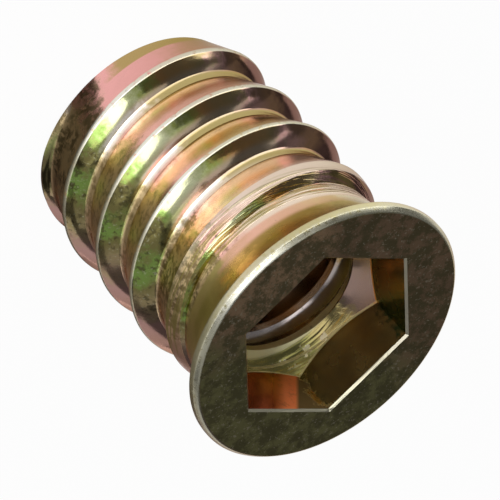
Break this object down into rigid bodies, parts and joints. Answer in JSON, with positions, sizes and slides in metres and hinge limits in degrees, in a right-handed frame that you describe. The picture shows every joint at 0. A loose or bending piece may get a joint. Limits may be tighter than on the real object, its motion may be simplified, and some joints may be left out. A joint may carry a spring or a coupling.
{
  "type": "threaded insert",
  "caption": "Flanged steel threaded insert for wood, with a coarse thread outside, a hex drive socket and a machine thread inside.",
  "frame": {"origin": "middle of the tip face, on which the insert stands", "axes": "+Z along the bore, out of the drive face; +X through a corner of the hex socket; +Y completes the right-handed frame, square to two flats of the socket"},
  "size_m": [0.0134, 0.0134, 0.0152],
  "materials": {
    "yellow_zinc_steel": "turned carbon steel, zinc plated and yellow passivated, glossy with a pink, gold and green sheen"
  },
  "bodies": {
    "root": {"insert": "yellow_zinc_steel"}
  },
  "joints": []
}
